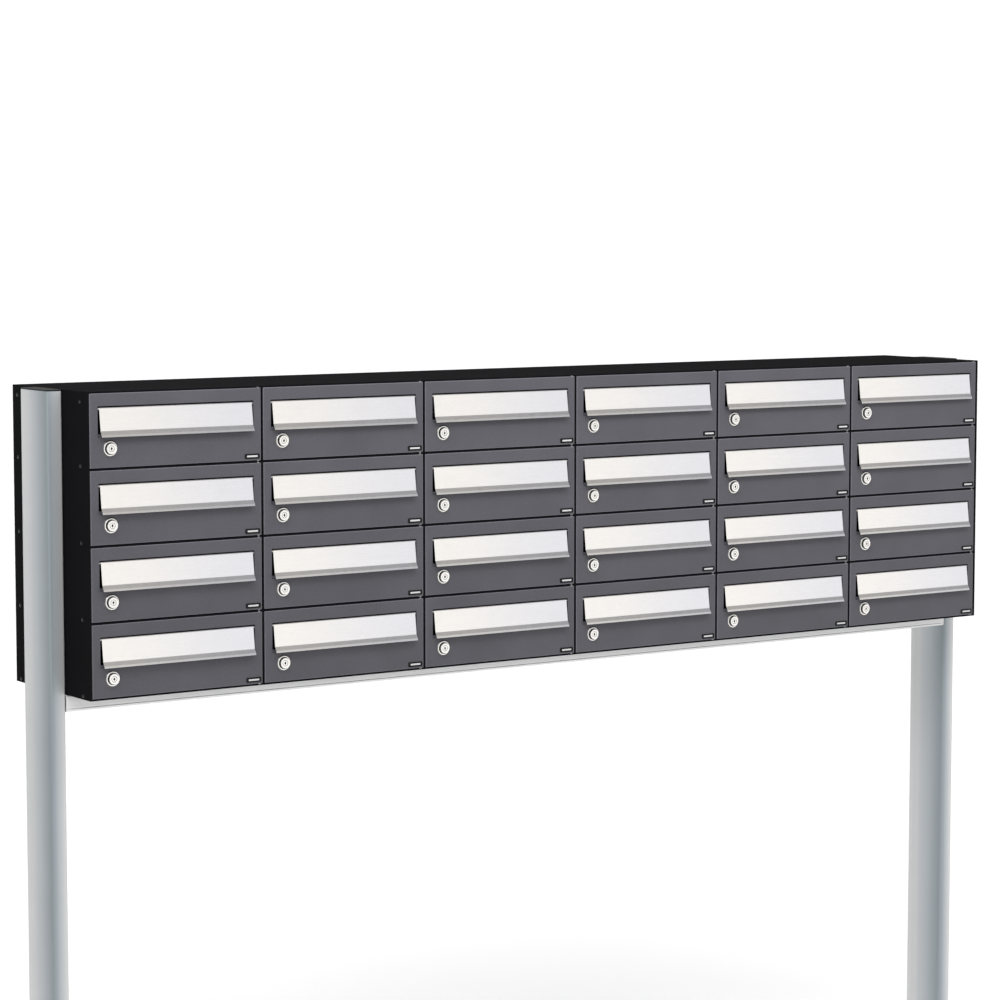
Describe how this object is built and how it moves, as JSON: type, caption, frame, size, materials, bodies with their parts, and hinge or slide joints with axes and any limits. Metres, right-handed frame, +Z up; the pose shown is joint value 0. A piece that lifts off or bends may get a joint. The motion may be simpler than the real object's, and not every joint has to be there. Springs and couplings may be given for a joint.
{
  "type": "cluster mailbox unit",
  "caption": "Free-standing bank of letter boxes between two posts, each with a hinged door, a hanging slot flap and a cam lock.",
  "frame": {"origin": "on the floor, midway between the two posts", "axes": "+X along the bank, to the right of someone facing the doors; +Y to the back, the doors face -Y; +Z up"},
  "size_m": [2.51, 0.36, 1.701],
  "materials": {
    "door_anthracite": "fine-texture powder coat, satin",
    "casing_black": "fine-texture powder coat, satin",
    "flap_stainless": "brushed along its length",
    "zinc_steel": "zinc plated",
    "rivet_dark": "painted with the side panels",
    "anodised_aluminium": "satin anodised, drawn along its length",
    "cap_plastic": "moulded",
    "base_steel": "satin anodised plate",
    "lock_chrome": "nickel plated, bright",
    "name_plate_black": "moulded"
  },
  "bodies": {
    "frame": {"casing_walls": "casing_black", "casing_shelves": "casing_black", "back_panel": "casing_black", "side_panels": "casing_black", "side_rivets": "rivet_dark", "bank_bolts": "zinc_steel", "door_hinge_pins": "zinc_steel", "door_strikes": "zinc_steel", "posts": "anodised_aluminium", "post_end_caps": "cap_plastic", "bottom_beam": "anodised_aluminium", "base_plates": "base_steel"},
    "door_r1c1": {"door_r1c1": "door_anthracite"},
    "flap_r1c1": {"flap_r1c1": "flap_stainless"},
    "door_r1c2": {"door_r1c2": "door_anthracite"},
    "flap_r1c2": {"flap_r1c2": "flap_stainless"},
    "door_r1c3": {"door_r1c3": "door_anthracite"},
    "flap_r1c3": {"flap_r1c3": "flap_stainless"},
    "door_r1c4": {"door_r1c4": "door_anthracite"},
    "flap_r1c4": {"flap_r1c4": "flap_stainless"},
    "door_r1c5": {"door_r1c5": "door_anthracite"},
    "flap_r1c5": {"flap_r1c5": "flap_stainless"},
    "door_r1c6": {"door_r1c6": "door_anthracite"},
    "flap_r1c6": {"flap_r1c6": "flap_stainless"},
    "door_r2c1": {"door_r2c1": "door_anthracite"},
    "flap_r2c1": {"flap_r2c1": "flap_stainless"},
    "door_r2c2": {"door_r2c2": "door_anthracite"},
    "flap_r2c2": {"flap_r2c2": "flap_stainless"},
    "door_r2c3": {"door_r2c3": "door_anthracite"},
    "flap_r2c3": {"flap_r2c3": "flap_stainless"},
    "door_r2c4": {"door_r2c4": "door_anthracite"},
    "flap_r2c4": {"flap_r2c4": "flap_stainless"},
    "door_r2c5": {"door_r2c5": "door_anthracite"},
    "flap_r2c5": {"flap_r2c5": "flap_stainless"},
    "door_r2c6": {"door_r2c6": "door_anthracite"},
    "flap_r2c6": {"flap_r2c6": "flap_stainless"},
    "door_r3c1": {"door_r3c1": "door_anthracite"},
    "flap_r3c1": {"flap_r3c1": "flap_stainless"},
    "door_r3c2": {"door_r3c2": "door_anthracite"},
    "flap_r3c2": {"flap_r3c2": "flap_stainless"},
    "door_r3c3": {"door_r3c3": "door_anthracite"},
    "flap_r3c3": {"flap_r3c3": "flap_stainless"},
    "door_r3c4": {"door_r3c4": "door_anthracite"},
    "flap_r3c4": {"flap_r3c4": "flap_stainless"},
    "door_r3c5": {"door_r3c5": "door_anthracite"},
    "flap_r3c5": {"flap_r3c5": "flap_stainless"},
    "door_r3c6": {"door_r3c6": "door_anthracite"},
    "flap_r3c6": {"flap_r3c6": "flap_stainless"},
    "door_r4c1": {"door_r4c1": "door_anthracite"},
    "flap_r4c1": {"flap_r4c1": "flap_stainless"},
    "door_r4c2": {"door_r4c2": "door_anthracite"},
    "flap_r4c2": {"flap_r4c2": "flap_stainless"},
    "door_r4c3": {"door_r4c3": "door_anthracite"},
    "flap_r4c3": {"flap_r4c3": "flap_stainless"},
    "door_r4c4": {"door_r4c4": "door_anthracite"},
    "flap_r4c4": {"flap_r4c4": "flap_stainless"},
    "door_r4c5": {"door_r4c5": "door_anthracite"},
    "flap_r4c5": {"flap_r4c5": "flap_stainless"},
    "door_r4c6": {"door_r4c6": "door_anthracite"},
    "flap_r4c6": {"flap_r4c6": "flap_stainless"}
  },
  "joints": [
    {"name": "door_r1c1_hinge", "type": "hinge", "parent": "frame", "child": "door_r1c1", "pos_m": [-0.77875, -0.161, 1.625], "axis": [0, 0, 1], "range_deg": [0, 95]},
    {"name": "door_r1c2_hinge", "type": "hinge", "parent": "frame", "child": "door_r1c2", "pos_m": [-0.39375, -0.161, 1.625], "axis": [0, 0, 1], "range_deg": [0, 95]},
    {"name": "door_r1c3_hinge", "type": "hinge", "parent": "frame", "child": "door_r1c3", "pos_m": [-0.00875, -0.161, 1.625], "axis": [0, 0, 1], "range_deg": [0, 95]},
    {"name": "door_r1c4_hinge", "type": "hinge", "parent": "frame", "child": "door_r1c4", "pos_m": [0.37625, -0.161, 1.625], "axis": [0, 0, 1], "range_deg": [0, 95]},
    {"name": "door_r1c5_hinge", "type": "hinge", "parent": "frame", "child": "door_r1c5", "pos_m": [0.76125, -0.161, 1.625], "axis": [0, 0, 1], "range_deg": [0, 95]},
    {"name": "door_r1c6_hinge", "type": "hinge", "parent": "frame", "child": "door_r1c6", "pos_m": [1.14625, -0.161, 1.625], "axis": [0, 0, 1], "range_deg": [0, 95]},
    {"name": "door_r2c1_hinge", "type": "hinge", "parent": "frame", "child": "door_r2c1", "pos_m": [-0.77875, -0.161, 1.475], "axis": [0, 0, 1], "range_deg": [0, 95]},
    {"name": "door_r2c2_hinge", "type": "hinge", "parent": "frame", "child": "door_r2c2", "pos_m": [-0.39375, -0.161, 1.475], "axis": [0, 0, 1], "range_deg": [0, 95]},
    {"name": "door_r2c3_hinge", "type": "hinge", "parent": "frame", "child": "door_r2c3", "pos_m": [-0.00875, -0.161, 1.475], "axis": [0, 0, 1], "range_deg": [0, 95]},
    {"name": "door_r2c4_hinge", "type": "hinge", "parent": "frame", "child": "door_r2c4", "pos_m": [0.37625, -0.161, 1.475], "axis": [0, 0, 1], "range_deg": [0, 95]},
    {"name": "door_r2c5_hinge", "type": "hinge", "parent": "frame", "child": "door_r2c5", "pos_m": [0.76125, -0.161, 1.475], "axis": [0, 0, 1], "range_deg": [0, 95]},
    {"name": "door_r2c6_hinge", "type": "hinge", "parent": "frame", "child": "door_r2c6", "pos_m": [1.14625, -0.161, 1.475], "axis": [0, 0, 1], "range_deg": [0, 95]},
    {"name": "door_r3c1_hinge", "type": "hinge", "parent": "frame", "child": "door_r3c1", "pos_m": [-0.77875, -0.161, 1.325], "axis": [0, 0, 1], "range_deg": [0, 95]},
    {"name": "door_r3c2_hinge", "type": "hinge", "parent": "frame", "child": "door_r3c2", "pos_m": [-0.39375, -0.161, 1.325], "axis": [0, 0, 1], "range_deg": [0, 95]},
    {"name": "door_r3c3_hinge", "type": "hinge", "parent": "frame", "child": "door_r3c3", "pos_m": [-0.00875, -0.161, 1.325], "axis": [0, 0, 1], "range_deg": [0, 95]},
    {"name": "door_r3c4_hinge", "type": "hinge", "parent": "frame", "child": "door_r3c4", "pos_m": [0.37625, -0.161, 1.325], "axis": [0, 0, 1], "range_deg": [0, 95]},
    {"name": "door_r3c5_hinge", "type": "hinge", "parent": "frame", "child": "door_r3c5", "pos_m": [0.76125, -0.161, 1.325], "axis": [0, 0, 1], "range_deg": [0, 95]},
    {"name": "door_r3c6_hinge", "type": "hinge", "parent": "frame", "child": "door_r3c6", "pos_m": [1.14625, -0.161, 1.325], "axis": [0, 0, 1], "range_deg": [0, 95]},
    {"name": "door_r4c1_hinge", "type": "hinge", "parent": "frame", "child": "door_r4c1", "pos_m": [-0.77875, -0.161, 1.175], "axis": [0, 0, 1], "range_deg": [0, 95]},
    {"name": "door_r4c2_hinge", "type": "hinge", "parent": "frame", "child": "door_r4c2", "pos_m": [-0.39375, -0.161, 1.175], "axis": [0, 0, 1], "range_deg": [0, 95]},
    {"name": "door_r4c3_hinge", "type": "hinge", "parent": "frame", "child": "door_r4c3", "pos_m": [-0.00875, -0.161, 1.175], "axis": [0, 0, 1], "range_deg": [0, 95]},
    {"name": "door_r4c4_hinge", "type": "hinge", "parent": "frame", "child": "door_r4c4", "pos_m": [0.37625, -0.161, 1.175], "axis": [0, 0, 1], "range_deg": [0, 95]},
    {"name": "door_r4c5_hinge", "type": "hinge", "parent": "frame", "child": "door_r4c5", "pos_m": [0.76125, -0.161, 1.175], "axis": [0, 0, 1], "range_deg": [0, 95]},
    {"name": "door_r4c6_hinge", "type": "hinge", "parent": "frame", "child": "door_r4c6", "pos_m": [1.14625, -0.161, 1.175], "axis": [0, 0, 1], "range_deg": [0, 95]},
    {"name": "flap_r1c1_hinge", "type": "hinge", "parent": "door_r1c1", "child": "flap_r1c1", "pos_m": [-0.9625, -0.1615, 1.6675], "axis": [-1, 0, 0], "range_deg": [0, 80]},
    {"name": "flap_r1c2_hinge", "type": "hinge", "parent": "door_r1c2", "child": "flap_r1c2", "pos_m": [-0.5775, -0.1615, 1.6675], "axis": [-1, 0, 0], "range_deg": [0, 80]},
    {"name": "flap_r1c3_hinge", "type": "hinge", "parent": "door_r1c3", "child": "flap_r1c3", "pos_m": [-0.1925, -0.1615, 1.6675], "axis": [-1, 0, 0], "range_deg": [0, 80]},
    {"name": "flap_r1c4_hinge", "type": "hinge", "parent": "door_r1c4", "child": "flap_r1c4", "pos_m": [0.1925, -0.1615, 1.6675], "axis": [-1, 0, 0], "range_deg": [0, 80]},
    {"name": "flap_r1c5_hinge", "type": "hinge", "parent": "door_r1c5", "child": "flap_r1c5", "pos_m": [0.5775, -0.1615, 1.6675], "axis": [-1, 0, 0], "range_deg": [0, 80]},
    {"name": "flap_r1c6_hinge", "type": "hinge", "parent": "door_r1c6", "child": "flap_r1c6", "pos_m": [0.9625, -0.1615, 1.6675], "axis": [-1, 0, 0], "range_deg": [0, 80]},
    {"name": "flap_r2c1_hinge", "type": "hinge", "parent": "door_r2c1", "child": "flap_r2c1", "pos_m": [-0.9625, -0.1615, 1.5175], "axis": [-1, 0, 0], "range_deg": [0, 80]},
    {"name": "flap_r2c2_hinge", "type": "hinge", "parent": "door_r2c2", "child": "flap_r2c2", "pos_m": [-0.5775, -0.1615, 1.5175], "axis": [-1, 0, 0], "range_deg": [0, 80]},
    {"name": "flap_r2c3_hinge", "type": "hinge", "parent": "door_r2c3", "child": "flap_r2c3", "pos_m": [-0.1925, -0.1615, 1.5175], "axis": [-1, 0, 0], "range_deg": [0, 80]},
    {"name": "flap_r2c4_hinge", "type": "hinge", "parent": "door_r2c4", "child": "flap_r2c4", "pos_m": [0.1925, -0.1615, 1.5175], "axis": [-1, 0, 0], "range_deg": [0, 80]},
    {"name": "flap_r2c5_hinge", "type": "hinge", "parent": "door_r2c5", "child": "flap_r2c5", "pos_m": [0.5775, -0.1615, 1.5175], "axis": [-1, 0, 0], "range_deg": [0, 80]},
    {"name": "flap_r2c6_hinge", "type": "hinge", "parent": "door_r2c6", "child": "flap_r2c6", "pos_m": [0.9625, -0.1615, 1.5175], "axis": [-1, 0, 0], "range_deg": [0, 80]},
    {"name": "flap_r3c1_hinge", "type": "hinge", "parent": "door_r3c1", "child": "flap_r3c1", "pos_m": [-0.9625, -0.1615, 1.3675], "axis": [-1, 0, 0], "range_deg": [0, 80]},
    {"name": "flap_r3c2_hinge", "type": "hinge", "parent": "door_r3c2", "child": "flap_r3c2", "pos_m": [-0.5775, -0.1615, 1.3675], "axis": [-1, 0, 0], "range_deg": [0, 80]},
    {"name": "flap_r3c3_hinge", "type": "hinge", "parent": "door_r3c3", "child": "flap_r3c3", "pos_m": [-0.1925, -0.1615, 1.3675], "axis": [-1, 0, 0], "range_deg": [0, 80]},
    {"name": "flap_r3c4_hinge", "type": "hinge", "parent": "door_r3c4", "child": "flap_r3c4", "pos_m": [0.1925, -0.1615, 1.3675], "axis": [-1, 0, 0], "range_deg": [0, 80]},
    {"name": "flap_r3c5_hinge", "type": "hinge", "parent": "door_r3c5", "child": "flap_r3c5", "pos_m": [0.5775, -0.1615, 1.3675], "axis": [-1, 0, 0], "range_deg": [0, 80]},
    {"name": "flap_r3c6_hinge", "type": "hinge", "parent": "door_r3c6", "child": "flap_r3c6", "pos_m": [0.9625, -0.1615, 1.3675], "axis": [-1, 0, 0], "range_deg": [0, 80]},
    {"name": "flap_r4c1_hinge", "type": "hinge", "parent": "door_r4c1", "child": "flap_r4c1", "pos_m": [-0.9625, -0.1615, 1.2175], "axis": [-1, 0, 0], "range_deg": [0, 80]},
    {"name": "flap_r4c2_hinge", "type": "hinge", "parent": "door_r4c2", "child": "flap_r4c2", "pos_m": [-0.5775, -0.1615, 1.2175], "axis": [-1, 0, 0], "range_deg": [0, 80]},
    {"name": "flap_r4c3_hinge", "type": "hinge", "parent": "door_r4c3", "child": "flap_r4c3", "pos_m": [-0.1925, -0.1615, 1.2175], "axis": [-1, 0, 0], "range_deg": [0, 80]},
    {"name": "flap_r4c4_hinge", "type": "hinge", "parent": "door_r4c4", "child": "flap_r4c4", "pos_m": [0.1925, -0.1615, 1.2175], "axis": [-1, 0, 0], "range_deg": [0, 80]},
    {"name": "flap_r4c5_hinge", "type": "hinge", "parent": "door_r4c5", "child": "flap_r4c5", "pos_m": [0.5775, -0.1615, 1.2175], "axis": [-1, 0, 0], "range_deg": [0, 80]},
    {"name": "flap_r4c6_hinge", "type": "hinge", "parent": "door_r4c6", "child": "flap_r4c6", "pos_m": [0.9625, -0.1615, 1.2175], "axis": [-1, 0, 0], "range_deg": [0, 80]}
  ]
}
